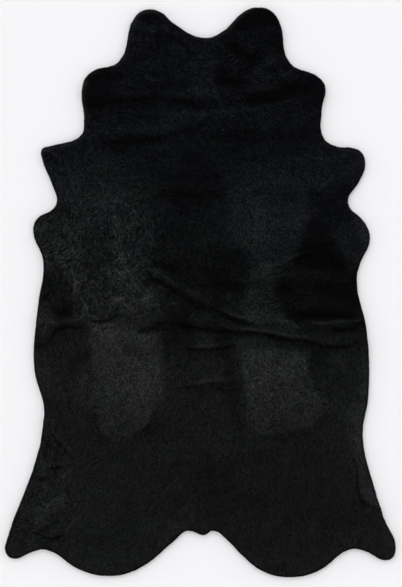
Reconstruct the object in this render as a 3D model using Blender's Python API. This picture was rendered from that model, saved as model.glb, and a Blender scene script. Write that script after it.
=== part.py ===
"""Black faux fur rug, cut in one piece in the outline of a cow hide, lying on a floor.

Metres, +Z up. The neck points along +Y and the tail along -Y. The origin is on the floor, at the
middle of the rug's length and width. The solid reaches as high and as wide as the short pile does.
"""

import math
from collections import namedtuple

import bmesh
import bpy
import numpy as np
from mathutils import Vector
from mathutils.geometry import delaunay_2d_cdt

RUG_LENGTH = 2.000
RUG_WIDTH = 1.372
BACKING_THICKNESS = 0.002
PILE_HEIGHT = 0.007
SHEET_THICKNESS = BACKING_THICKNESS + PILE_HEIGHT

# The pile rounds over along the cut edge.
RIM_ROUNDING = 0.006
RIM_SEGMENTS = 2

# How finely the curves and the sheet are divided.
STEPS_BETWEEN_POINTS = 5
EVEN_SPACING = 0.060
CREST_SPACING = 0.030
FOLD_ROWS = (-1.0, -0.6, -0.25, 0.0, 0.25, 0.6, 1.0)
CLEAR_OF_EDGE = 0.014
CLEAR_ON_FOLD = 0.0032
CLEAR_ON_FLAT = 0.033
SAME_POINT = 1e-6
SHARP_ANGLE = math.radians(50)

# The outline, clockwise from the dip at the neck, with each point as (x, y).
OUTLINE = {
    "neck dip": [(0.012, 0.892), (0.071, 0.910)],
    "right neck flap": [(0.159, 0.988), (0.205, 0.999), (0.247, 0.987), (0.276, 0.950), (0.312, 0.806)],
    "right shoulder": [(0.420, 0.750), (0.438, 0.719), (0.426, 0.645), (0.433, 0.540)],
    "right upper foreleg": [
        (0.478, 0.511), (0.531, 0.507), (0.564, 0.492), (0.578, 0.447), (0.559, 0.392), (0.517, 0.315),
    ],
    "right lower foreleg": [(0.576, 0.245), (0.595, 0.189), (0.559, 0.098), (0.548, 0.043)],
    "right flank": [(0.583, -0.134), (0.589, -0.367), (0.569, -0.501), (0.615, -0.702), (0.645, -0.795)],
    "right hind foot": [(0.685, -0.901), (0.664, -0.938), (0.571, -0.905), (0.527, -0.901)],
    "right haunch": [(0.412, -0.978), (0.319, -0.999), (0.222, -0.980), (0.150, -0.926), (0.096, -0.871)],
    "tail": [(0.045, -0.836), (0.010, -0.852), (-0.029, -0.838), (-0.053, -0.838)],
    "left haunch": [(-0.092, -0.871), (-0.227, -0.974), (-0.327, -0.995), (-0.424, -0.973)],
    "left hind foot": [
        (-0.546, -0.902), (-0.595, -0.912), (-0.659, -0.934), (-0.685, -0.911), (-0.678, -0.862),
    ],
    "left flank": [(-0.548, -0.429), (-0.584, -0.266), (-0.571, -0.050), (-0.552, 0.110)],
    "left lower foreleg": [
        (-0.588, 0.220), (-0.571, 0.261), (-0.524, 0.287), (-0.504, 0.317), (-0.518, 0.371),
    ],
    "left upper foreleg": [
        (-0.559, 0.480), (-0.558, 0.501), (-0.524, 0.513), (-0.416, 0.554), (-0.409, 0.591),
    ],
    "left shoulder": [(-0.411, 0.738), (-0.381, 0.774), (-0.287, 0.808)],
    "left neck flap": [(-0.229, 0.968), (-0.187, 0.992), (-0.139, 0.982), (-0.097, 0.945)],
}

# The folds that the rug keeps from having been rolled up. Each is a soft ridge, with its width on the
# left and on the right of the way its crest runs, and the crest as (x, y, height).
Fold = namedtuple("Fold", "name left_width right_width crest")
FOLDS = (
    Fold("long fold", 0.038, 0.017, [
        (-0.235, 0.120, 0.000), (-0.125, 0.034, 0.009), (-0.041, -0.020, 0.013), (0.026, -0.055, 0.014),
        (0.096, -0.080, 0.011), (0.191, -0.101, 0.009), (0.280, -0.108, 0.005), (0.370, -0.112, 0.000),
    ]),
    Fold("cross fold, left", 0.030, 0.018, [
        (-0.640, -0.112, 0.007), (-0.500, -0.120, 0.006), (-0.388, -0.112, 0.007), (-0.210, -0.124, 0.006),
        (-0.034, -0.113, 0.007), (0.060, -0.122, 0.000),
    ]),
    Fold("cross fold, right", 0.024, 0.020, [
        (0.080, -0.140, 0.000), (0.229, -0.148, 0.006), (0.317, -0.164, 0.008), (0.433, -0.190, 0.007),
        (0.640, -0.212, 0.008),
    ]),
    Fold("belly crease", 0.022, 0.014, [
        (-0.120, -0.346, 0.000), (-0.005, -0.328, 0.005), (0.054, -0.320, 0.006), (0.140, -0.312, 0.000),
    ]),
    Fold("hind leg fold", 0.026, 0.018, [
        (0.520, -0.520, 0.000), (0.548, -0.624, 0.007), (0.561, -0.711, 0.008), (0.612, -0.760, 0.006),
        (0.680, -0.800, 0.004),
    ]),
    Fold("flank crease", 0.024, 0.016, [
        (-0.640, -0.420, 0.004), (-0.515, -0.469, 0.006), (-0.490, -0.529, 0.006), (-0.430, -0.590, 0.000),
    ]),
    Fold("neck ripple, upper", 0.050, 0.030, [
        (-0.460, 0.690, 0.004), (-0.250, 0.700, 0.006), (0.000, 0.688, 0.004), (0.210, 0.700, 0.006),
        (0.470, 0.680, 0.004),
    ]),
    Fold("neck ripple, middle", 0.045, 0.028, [
        (-0.420, 0.545, 0.000), (-0.220, 0.556, 0.005), (0.000, 0.562, 0.005), (0.240, 0.585, 0.000),
    ]),
    Fold("neck ripple, lower", 0.040, 0.028, [
        (-0.240, 0.352, 0.000), (-0.080, 0.364, 0.004), (0.070, 0.366, 0.004), (0.220, 0.380, 0.000),
    ]),
)


def clear_scene():
    """Remove the objects that the scene starts with."""
    for item in list(bpy.data.objects):
        bpy.data.objects.remove(item)


def smooth_path(points, closed):
    """Points along a smooth curve that passes through the given ones."""
    curve = bpy.data.curves.new("guide", "CURVE")
    curve.dimensions = "3D"
    curve.resolution_u = STEPS_BETWEEN_POINTS
    spline = curve.splines.new("BEZIER")
    spline.bezier_points.add(len(points) - 1)
    spline.use_cyclic_u = closed
    for knot, point in zip(spline.bezier_points, points):
        knot.co = point
        knot.handle_left_type = "AUTO"
        knot.handle_right_type = "AUTO"
    guide = bpy.data.objects.new("guide", curve)
    bpy.context.scene.collection.objects.link(guide)
    depsgraph = bpy.context.evaluated_depsgraph_get()
    mesh = bpy.data.meshes.new_from_object(guide.evaluated_get(depsgraph))
    path = np.array([vertex.co[:] for vertex in mesh.vertices])
    bpy.data.objects.remove(guide)
    bpy.data.curves.remove(curve)
    bpy.data.meshes.remove(mesh)
    return path


def cut_outline():
    """The closed outline as (x, y) rows, brought to the rug's exact width and length."""
    points = [(x, y, 0.0) for part in OUTLINE.values() for x, y in part]
    path = smooth_path(points, closed=True)[:, :2]
    low = path.min(axis=0)
    high = path.max(axis=0)
    return (path - (low + high) / 2) * (RUG_WIDTH, RUG_LENGTH) / (high - low)


def crest_directions(crest):
    """The way the crest runs at each of its points, as unit (x, y) rows."""
    along = np.gradient(crest[:, :2], axis=0)
    return along / np.linalg.norm(along, axis=1, keepdims=True)


def fold_height(fold, crest, places):
    """How far one fold lifts the sheet at each (x, y)."""
    offset = places[:, None, :] - crest[None, :, :2]
    nearest = np.linalg.norm(offset, axis=2).argmin(axis=1)
    offset = offset[np.arange(len(places)), nearest]
    along = crest_directions(crest)[nearest]
    to_left = along[:, 0] * offset[:, 1] - along[:, 1] * offset[:, 0]
    width = np.where(to_left > 0, fold.left_width, fold.right_width)
    share = np.minimum(abs(to_left) / width, 1.0)
    return crest[nearest, 2] * (1 + np.cos(math.pi * share)) / 2


def fold_places(fold, crest):
    """Rows of (x, y) along the fold, from one foot over the crest to the other."""
    length = np.linalg.norm(np.diff(crest[:, :2], axis=0), axis=1).sum()
    picks = np.linspace(0, len(crest) - 1, max(2, round(length / CREST_SPACING))).round().astype(int)
    along = crest_directions(crest)[picks]
    to_left = np.stack([-along[:, 1], along[:, 0]], axis=1)
    rows = []
    for share in FOLD_ROWS:
        width = fold.left_width if share > 0 else fold.right_width
        rows.append(crest[picks, :2] + share * width * to_left)
    return np.concatenate(rows)


def even_places():
    """Staggered rows of (x, y) over the whole rug."""
    row_step = EVEN_SPACING * math.sqrt(3) / 2
    places = []
    for row, y in enumerate(np.arange(-RUG_LENGTH / 2, RUG_LENGTH / 2, row_step)):
        shift = EVEN_SPACING / 2 * (row % 2)
        for x in np.arange(-RUG_WIDTH / 2, RUG_WIDTH / 2, EVEN_SPACING):
            places.append((x + shift, y))
    return np.array(places)


def add_clear_places(kept, places, gap):
    """Keep each new place that lies no nearer than the gap to those kept so far."""
    for place in places:
        if np.linalg.norm(kept - place, axis=1).min() >= gap:
            kept = np.vstack([kept, place])
    return kept


def sheet_places(outline, folds):
    """The outline's points, then the points inside it that carry the folds and the flat cloth."""
    inner = np.empty((0, 2))
    for fold, crest in folds:
        places = fold_places(fold, crest)
        to_edge = np.linalg.norm(places[:, None, :] - outline[None, :, :], axis=2).min(axis=1)
        inner = np.vstack([inner, places[to_edge >= CLEAR_OF_EDGE]])
    kept = add_clear_places(outline, inner, CLEAR_ON_FOLD)
    return add_clear_places(kept, even_places(), CLEAR_ON_FLAT)


def build_sheet(bm):
    """The open sheet, cut to the outline and lifted along its folds."""
    outline = cut_outline()
    folds = [(fold, smooth_path(fold.crest, closed=False)) for fold in FOLDS]
    places = sheet_places(outline, folds)
    border = [list(range(len(outline)))]
    inside_border = 1
    found = delaunay_2d_cdt([Vector(place) for place in places], [], border, inside_border, SAME_POINT)
    corners = np.array([place[:] for place in found[0]])
    lift = np.max([fold_height(fold, crest, corners) for fold, crest in folds], axis=0)
    vertices = [bm.verts.new((x, y, z)) for (x, y), z in zip(corners, lift)]
    for triangle in found[2]:
        bm.faces.new([vertices[corner] for corner in triangle])
    bmesh.ops.delete(bm, geom=[vertex for vertex in bm.verts if not vertex.link_faces], context="VERTS")
    bmesh.ops.recalc_face_normals(bm, faces=bm.faces)


def thicken_sheet(bm):
    """Give the sheet its thickness of backing and pile, and return its upper faces."""
    lower = bm.faces[:]
    grown = bmesh.ops.extrude_face_region(bm, geom=lower, use_keep_orig=True)["geom"]
    raised = [item for item in grown if isinstance(item, bmesh.types.BMVert)]
    bmesh.ops.translate(bm, verts=raised, vec=(0, 0, SHEET_THICKNESS))
    bmesh.ops.recalc_face_normals(bm, faces=bm.faces)
    return [item for item in grown if isinstance(item, bmesh.types.BMFace)]


def round_rim(bm, upper):
    """Round the upper edge, where the pile falls over the cut."""
    upper = set(upper)
    rim = [edge for edge in bm.edges if len(upper.intersection(edge.link_faces)) == 1]
    bmesh.ops.bevel(
        bm, geom=rim, offset=RIM_ROUNDING, offset_type="OFFSET", segments=RIM_SEGMENTS,
        profile=0.5, affect="EDGES", clamp_overlap=True,
    )


def fur_material():
    """Near-black synthetic fur."""
    material = bpy.data.materials.new("black_fur")
    material.use_nodes = True
    shader = material.node_tree.nodes["Principled BSDF"]
    shader.inputs["Base Color"].default_value = (0.008, 0.009, 0.010, 1.0)
    shader.inputs["Roughness"].default_value = 0.85
    shader.inputs["Metallic"].default_value = 0.0
    return material


def build_rug(collection):
    """The whole rug, one solid."""
    bm = bmesh.new()
    build_sheet(bm)
    upper = thicken_sheet(bm)
    round_rim(bm, upper)
    bmesh.ops.triangulate(bm, faces=bm.faces)
    mesh = bpy.data.meshes.new("hide_rug")
    bm.to_mesh(mesh)
    bm.free()
    mesh.shade_smooth()
    mesh.set_sharp_from_angle(angle=SHARP_ANGLE)
    mesh.materials.append(fur_material())
    rug = bpy.data.objects.new("hide_rug", mesh)
    collection.objects.link(rug)


clear_scene()
rug_parts = bpy.data.collections.new("faux_fur_rug")
bpy.context.scene.collection.children.link(rug_parts)
build_rug(rug_parts)
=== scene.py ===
"""Looks of a black faux fur rug that is cut in one piece in the outline of a cow hide.

The rug is made up as it is in the workshop: the woven backing first, then the pile that stands
on it, and last the floor and the light in which it lies. Sizes are in metres, and in millimetres
in the tables of points. +Y is towards the neck and +Z is up.
"""

import math

import bmesh
import bpy
import numpy as np
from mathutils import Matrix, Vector
from mathutils.geometry import delaunay_2d_cdt


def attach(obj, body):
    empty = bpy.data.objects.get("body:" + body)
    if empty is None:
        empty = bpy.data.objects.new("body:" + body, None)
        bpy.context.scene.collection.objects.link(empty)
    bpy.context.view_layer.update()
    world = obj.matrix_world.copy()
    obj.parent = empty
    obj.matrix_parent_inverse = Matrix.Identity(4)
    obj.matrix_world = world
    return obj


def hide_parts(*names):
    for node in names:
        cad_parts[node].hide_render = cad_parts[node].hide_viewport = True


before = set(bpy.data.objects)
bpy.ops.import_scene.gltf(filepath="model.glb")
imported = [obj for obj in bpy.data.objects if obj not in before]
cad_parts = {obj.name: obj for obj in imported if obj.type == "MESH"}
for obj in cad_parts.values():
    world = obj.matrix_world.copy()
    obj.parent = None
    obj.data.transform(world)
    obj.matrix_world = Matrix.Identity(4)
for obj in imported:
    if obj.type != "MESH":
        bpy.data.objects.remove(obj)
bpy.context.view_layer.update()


# The backing is one woven cloth, 2 mm thick, that carries the pile. It is cut along the hide's
# outline, a little inside the tips of the pile, and lies on the floor but for the long soft
# folds and small creases that were left in it when it was rolled.

BACKING_THICKNESS = 0.002
BACKING_INSET = 0.0012
RIM_SPACING = 0.008
INNER_SPACING = 0.012
SURVEY_SPACING = 0.004
SURVEY_MARGIN = 0.04
SLACK = 0.0009
UNDERSIDE = -0.3
MILLIMETRES = 1000

# Each fold: its width on the left and on the right of the way it runs, then the points of its
# crest as x, y and height above the floor, which is left out where it is 0.
FOLDS = dict(
    long_fold=(38, 17, (-235, 127), (-125, 41, 9), (-41, -13, 13), (26, -48, 14), (96, -73, 11),
        (191, -94, 9), (280, -101, 5), (370, -105)),
    cross_fold_left=(30, 18, (-640, -106, 7), (-500, -114, 6), (-388, -106, 7), (-210, -118, 6),
        (-34, -107, 7), (60, -116)),
    cross_fold_right=(24, 20, (80, -132), (229, -140, 6), (317, -156, 8), (433, -182, 7), (640, -204, 8)),
    belly_crease=(22, 14, (-120, -341), (-5, -323, 5), (54, -315, 6), (140, -307)),
    hind_leg_fold=(26, 18, (520, -520), (548, -624, 7), (561, -711, 8), (612, -760, 6), (680, -800, 4)),
    flank_crease=(24, 16, (-640, -420, 4), (-515, -469, 6), (-490, -529, 6), (-430, -590)),
    neck_ripple_upper=(50, 30, (-460, 690, 4), (-250, 700, 6), (0, 688, 4), (210, 700, 6), (470, 680, 4)),
    neck_ripple_middle=(45, 28, (-420, 545), (-220, 556, 5), (0, 562, 5), (240, 585)),
    neck_ripple_lower=(40, 28, (-240, 352), (-80, 364, 4), (70, 366, 4), (220, 380)),
    bow_under_the_long_fold=(14, 10, (-60, -186), (-20, -197, 3), (26, -200, 4), (80, -190, 3), (120, -176)),
    right_shoulder_arc=(12, 9, (220, 88), (266, 96, 3), (317, 116, 4), (372, 137, 3), (410, 142)),
    right_flank_shelf=(16, 22, (345, -98), (400, -101, 4), (480, -97, 4), (560, -94, 2)),
    left_shoulder_mark=(10, 8, (-380, 412), (-356, 390, 3), (-330, 368, 3), (-305, 352)),
)


def soft_line(points, steps, parts_of_one):
    """A smooth line through given points. A third number that is left out is 0."""
    given = np.array([(*point, 0)[: len(parts_of_one)] for point in points], float) / parts_of_one
    before = 2 * given[:1] - given[1:2]
    after = 2 * given[-1:] - given[-2:-1]
    row = np.vstack([before, given, after])
    t = np.linspace(0, 1, steps, endpoint=False)[:, None]
    parts = []
    for a, b, c, d in zip(row, row[1:], row[2:], row[3:]):
        bend = 2 * a - 5 * b + 4 * c - d
        twist = 3 * b - a - 3 * c + d
        parts.append(b + 0.5 * ((c - a) * t + bend * t**2 + twist * t**3))
    parts.append(given[-1:])
    return np.vstack(parts)


def nearest_on_line(x, y, line):
    """For each place: its distance from a line, the side it is on and the line's height there."""
    distance = np.full(x.shape, np.inf)
    side = np.zeros(x.shape)
    height = np.zeros(x.shape)
    for start, end in zip(line, line[1:]):
        run = end[:2] - start[:2]
        dx = x - start[0]
        dy = y - start[1]
        share = np.clip((dx * run[0] + dy * run[1]) / (run @ run), 0, 1)
        away = np.hypot(dx - share * run[0], dy - share * run[1])
        closer = away < distance
        distance[closer] = away[closer]
        side[closer] = np.sign(run[0] * dy - run[1] * dx)[closer]
        height[closer] = (start[2] + share * (end[2] - start[2]))[closer]
    return distance, side, height


def near_line(x, y, line, reach):
    """Which places lie in the box round a line, or within a reach of that box."""
    low = line.min(0) - reach
    high = line.max(0) + reach
    return (x > low[0]) & (x < high[0]) & (y > low[1]) & (y < high[1])


def depth_inside(x, y, ring):
    """How deep each place lies inside a closed line: below 0 where it is outside."""
    within = np.zeros(x.shape, bool)
    for start, end in zip(ring, ring[1:]):
        if start[1] != end[1]:
            crosses = (start[1] > y) != (end[1] > y)
            edge_x = start[0] + (y - start[1]) / (end[1] - start[1]) * (end[0] - start[0])
            within ^= crosses & (x < edge_x)
    away = nearest_on_line(x, y, np.column_stack([ring, np.zeros(len(ring))]))[0]
    return np.where(within, away, -away)


def fold_rise(x, y, left_width, right_width, crest):
    """How high one fold lifts the cloth: a round ridge, steeper on its narrower side."""
    line = soft_line(crest, 8, (MILLIMETRES, MILLIMETRES, MILLIMETRES))
    near = near_line(x, y, line, max(left_width, right_width) / MILLIMETRES)
    distance, side, height = nearest_on_line(x[near], y[near], line)
    width = np.where(side > 0, left_width, right_width) / MILLIMETRES
    share = np.minimum(distance / width, 1)
    rise = np.zeros(x.shape)
    rise[near] = np.maximum(height, 0) * 0.5 * (1 + np.cos(math.pi * share))
    return rise


def read_grid(values, row, column, along, across):
    """What a grid holds between four of its points, at a share of the way along and across."""
    low = values[row, column] * (1 - across) + values[row, column + 1] * across
    high = values[row + 1, column] * (1 - across) + values[row + 1, column + 1] * across
    return low * (1 - along) + high * along


def soft_noise(x, y, width, length, seed, turn=0.0):
    """Smooth unevenness from -1 to 1, in patches of that width and length, turned in degrees."""
    values = np.random.default_rng(seed).uniform(-1, 1, (256, 256))
    cos, sin = math.cos(math.radians(turn)), math.sin(math.radians(turn))
    across = (x * cos + y * sin) / width + 128.37
    along = (y * cos - x * sin) / length + 128.61
    column = np.floor(across).astype(int)
    row = np.floor(along).astype(int)
    p = across - column
    q = along - row
    return read_grid(values, row % 255, column % 255, q * q * (3 - 2 * q), p * p * (3 - 2 * p))


def read_outline(solid):
    """The rug's outline on the floor, point after point, from the underside of its solid."""
    shape = bmesh.new()
    shape.from_mesh(solid.data)
    bmesh.ops.remove_doubles(shape, verts=shape.verts, dist=1e-5)
    shape.normal_update()
    after = {}
    for edge in shape.edges:
        under = [loop for loop in edge.link_loops if loop.face.normal.z < UNDERSIDE]
        if len(under) == 1 and len(edge.link_loops) == 2:
            after[under[0].vert.index] = under[0].link_loop_next.vert.index
    shape.verts.ensure_lookup_table()
    first = next(iter(after))
    ring = [first]
    while after[ring[-1]] != first:
        ring.append(after[ring[-1]])
    places = np.array([shape.verts[index].co[:2] for index in ring])
    shape.free()
    return places


def respace(ring, spacing):
    """The same closed line with points at even steps."""
    closed = np.vstack([ring, ring[:1]])
    steps = np.hypot(*np.diff(closed, axis=0).T)
    travelled = np.concatenate([[0], np.cumsum(steps)])
    count = round(travelled[-1] / spacing)
    stops = np.linspace(0, travelled[-1], count, endpoint=False)
    return np.column_stack([np.interp(stops, travelled, closed[:, axis]) for axis in (0, 1)])


hide_outline = respace(read_outline(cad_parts["hide_rug"]), RIM_SPACING)

# The survey is a fine grid over the rug, on which folds, patches and the rim are worked out once.
survey_low = hide_outline.min(0) - SURVEY_MARGIN
survey_high = hide_outline.max(0) + SURVEY_MARGIN


def even_grid(spacing):
    """Places at even steps over the rug and its margin."""
    columns = np.arange(survey_low[0], survey_high[0], spacing)
    rows = np.arange(survey_low[1], survey_high[1], spacing)
    return np.meshgrid(columns, rows)


survey_x, survey_y = even_grid(SURVEY_SPACING)
closed_outline = np.vstack([hide_outline, hide_outline[:1]])
rim_distance = depth_inside(survey_x, survey_y, closed_outline)

cloth_rise = np.zeros(survey_x.shape)
for left_width, right_width, *crest in FOLDS.values():
    one_fold = fold_rise(survey_x, survey_y, left_width, right_width, crest)
    cloth_rise = np.maximum(cloth_rise, one_fold)
slack = soft_noise(survey_x, survey_y, 0.16, 0.10, 11)
slack = slack + 0.4 * soft_noise(survey_x, survey_y, 0.05, 0.04, 12)
cloth_rise = cloth_rise + SLACK * np.maximum(slack, 0)


def survey_value(field, x, y):
    """Reads one survey field at any place, evenly between its nearest points."""
    across = np.clip((x - survey_low[0]) / SURVEY_SPACING, 0, field.shape[1] - 1.001)
    along = np.clip((y - survey_low[1]) / SURVEY_SPACING, 0, field.shape[0] - 1.001)
    column = across.astype(int)
    row = along.astype(int)
    return read_grid(field, row, column, along - row, across - column)


ahead = np.roll(hide_outline, -1, axis=0) - np.roll(hide_outline, 1, axis=0)
outward = np.column_stack([-ahead[:, 1], ahead[:, 0]]) / np.hypot(*ahead.T)[:, None]
cut_line = hide_outline - outward * BACKING_INSET

inner_x, inner_y = even_grid(INNER_SPACING)
inner_x = inner_x + np.where(np.arange(len(inner_x)) % 2, 0.5 * INNER_SPACING, 0)[:, None]
well_inside = survey_value(rim_distance, inner_x, inner_y) > BACKING_INSET + 0.6 * INNER_SPACING
inner_places = np.column_stack([inner_x[well_inside], inner_y[well_inside]])

flat_places = [Vector(place) for place in np.vstack([cut_line, inner_places]).tolist()]
rim_edges = [(i, (i + 1) % len(cut_line)) for i in range(len(cut_line))]
cut_cloth = delaunay_2d_cdt(flat_places, rim_edges, [], 1, 1e-7)
places = np.array([tuple(place) for place in cut_cloth[0]])
panels = [tuple(face) for face in cut_cloth[2]]
lift = survey_value(cloth_rise, *places.T)
underside = np.column_stack([places, lift])
topside = underside + (0, 0, BACKING_THICKNESS)
count = len(places)
sides = dict.fromkeys(pair for face in panels for pair in zip(face, face[1:] + face[:1]))
cut_edges = [pair for pair in sides if pair[::-1] not in sides]
cloth_faces = [tuple(i + count for i in face) for face in panels]
cloth_faces += [face[::-1] for face in panels]
cloth_faces += [(a, b, b + count, a + count) for a, b in cut_edges]
scene = bpy.context.scene


def put_down(name, data):
    """Puts one object into the scene."""
    made = bpy.data.objects.new(name, data)
    scene.collection.objects.link(made)
    return made


backing_mesh = bpy.data.meshes.new("woven_backing")
backing_mesh.from_pydata(np.vstack([underside, topside]).tolist(), [], cloth_faces)
backing_mesh.shade_smooth()
backing = put_down("woven_backing", backing_mesh)


def joins(operation, backwards=False):
    """A method of Wire that joins two values with one Math node."""

    def method(self, other):
        pair = (other, self) if backwards else (self, other)
        return self.finish.node("ShaderNodeMath", {"operation": operation}, dict(enumerate(pair)))

    return method


class Wire:
    """One output of a finish's nodes, so that shader maths reads as plain sums."""

    def __init__(self, finish, socket):
        self.finish = finish
        self.socket = socket

    __add__ = __radd__ = joins("ADD")
    __sub__ = joins("SUBTRACT")
    __rsub__ = joins("SUBTRACT", backwards=True)
    __mul__ = __rmul__ = joins("MULTIPLY")
    __pow__ = joins("POWER")
    __rpow__ = joins("POWER", backwards=True)


class Finish:
    """The nodes of one material, or of the light of the room."""

    def __init__(self, owner):
        owner.use_nodes = True
        self.owner = owner
        self.nodes = owner.node_tree.nodes
        self.links = owner.node_tree.links
        self.nodes.clear()

    def node(self, kind, settings=None, inputs=None, output=0):
        """Adds a node: its settings first, then what goes into its sockets."""
        made = self.nodes.new(kind)
        for name, value in (settings or {}).items():
            setattr(made, name, value)
        for name, value in (inputs or {}).items():
            if isinstance(value, Wire):
                self.links.new(value.socket, made.inputs[name])
            else:
                made.inputs[name].default_value = value
        return Wire(self, made.outputs[output]) if made.outputs else None

    def blend(self, first, second, share):
        """A colour between two others."""
        return self.node("ShaderNodeMix", {"data_type": "RGBA"}, {0: share, 6: first, 7: second}, 2)

    def scaled(self, colour, share):
        """A colour made darker or lighter by a value."""
        return self.node("ShaderNodeVectorMath", {"operation": "SCALE"}, {0: colour, 3: share})

    def surface(self, inputs):
        """Ends the finish with its surface."""
        shader = self.node("ShaderNodeBsdfPrincipled", None, inputs)
        self.node("ShaderNodeOutputMaterial", None, {"Surface": shader})
        return self.owner


cloth = Finish(bpy.data.materials.new("woven_backing_cloth"))
cloth_place = cloth.node("ShaderNodeTexCoord", output="Object")
thread_place = cloth.node("ShaderNodeMapping", None, {"Vector": cloth_place, "Scale": (420, 130, 300)})
thread = cloth.node("ShaderNodeTexNoise", None, {"Vector": thread_place, "Scale": 1.0, "Detail": 3.0})
worn = cloth.node("ShaderNodeTexNoise", None, {"Vector": cloth_place, "Scale": 9.0, "Detail": 4.0})
cloth_shade = 0.35 + 0.45 * thread + 0.4 * worn
cloth_colour = cloth.scaled((0.0165, 0.017, 0.018), cloth_shade)
cloth_bump = cloth.node("ShaderNodeBump", None, {"Height": thread, "Strength": 0.6, "Distance": 0.0004})
backing_mesh.materials.append(cloth.surface({
    "Base Color": cloth_colour,
    "Roughness": 0.82 + 0.12 * worn,
    "Specular IOR Level": 0.12,
    "Normal": cloth_bump,
}))

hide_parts("hide_rug")
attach(backing, "root")


# The pile is short black faux fur that stands on the backing, about 7 mm high and brushed
# towards the tail. Each lock is one bent leaf of fibres. Where the pile was brushed up it turns
# its side to the light and looks grey, and where it lies away from it looks black. That grey
# sheen and black shade are painted into the pile's colour, in patches and along lines, and the
# lean of the locks adds a little real shading.

LOCK_SPACING = 0.0021
LOCK_LENGTH = 0.01
LOCK_WIDTH = 0.0024
LOCK_ROLL = 24
LOWER_LEAN = 32
UPPER_LEAN = 60
BRUSHED_TOWARDS = -90
LEAST_SWIRL = 20
MOST_SWIRL = 46
STREAK_WAYS = 8
STREAK_MATCH = 24
RIM_BAND = 0.01
RIM_PULL = 1.8
RIM_DROOP = 12
RIM_OVERHANG = 0.0014
RIM_EVENNESS = 0.0003
# The rim of the pile is painted darker, as shade where the pile curves down over the cut edge.
RIM_SHADE_BAND = 0.009
RIM_PAINTED_SHADE = 0.95
NECK_START = 0.42
NECK_BAND = 0.12
LINE_SHADE_DEPTH = 1.9
LINE_SHADE_SPREAD = 1.25
HUNDREDTHS = 100
LEAST_LIGHTNESS = 5.5
LEAST_SHARE = 0.1
BRIGHTEST = 80
TONE_LIMITS = (0.05, 0.98)
FUR_BRIGHTNESS = 0.1265
FUR_CONTRAST = 1.7
COOL_SHEEN_CAST = (0.87, 1.0, 1.42, 1.0)
WARM_CAST = (1.0, 1.0, 0.78, 1.0)
GREEN_CAST = (0.93, 1.0, 0.95, 1.0)
GREY_CAST = (0.98, 1.0, 1.08, 1.0)

# How light the pile looks from the tail to the neck: place along the rug in metres, and lightness.
LENGTHWISE = [
    (-1.0, 22.5), (-0.88, 20.5), (-0.55, 20), (-0.3, 20.5), (0.0, 17.4), (0.3, 16.2), (0.5, 12.6),
    (0.62, 11.5), (1.0, 11.4),
]
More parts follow.
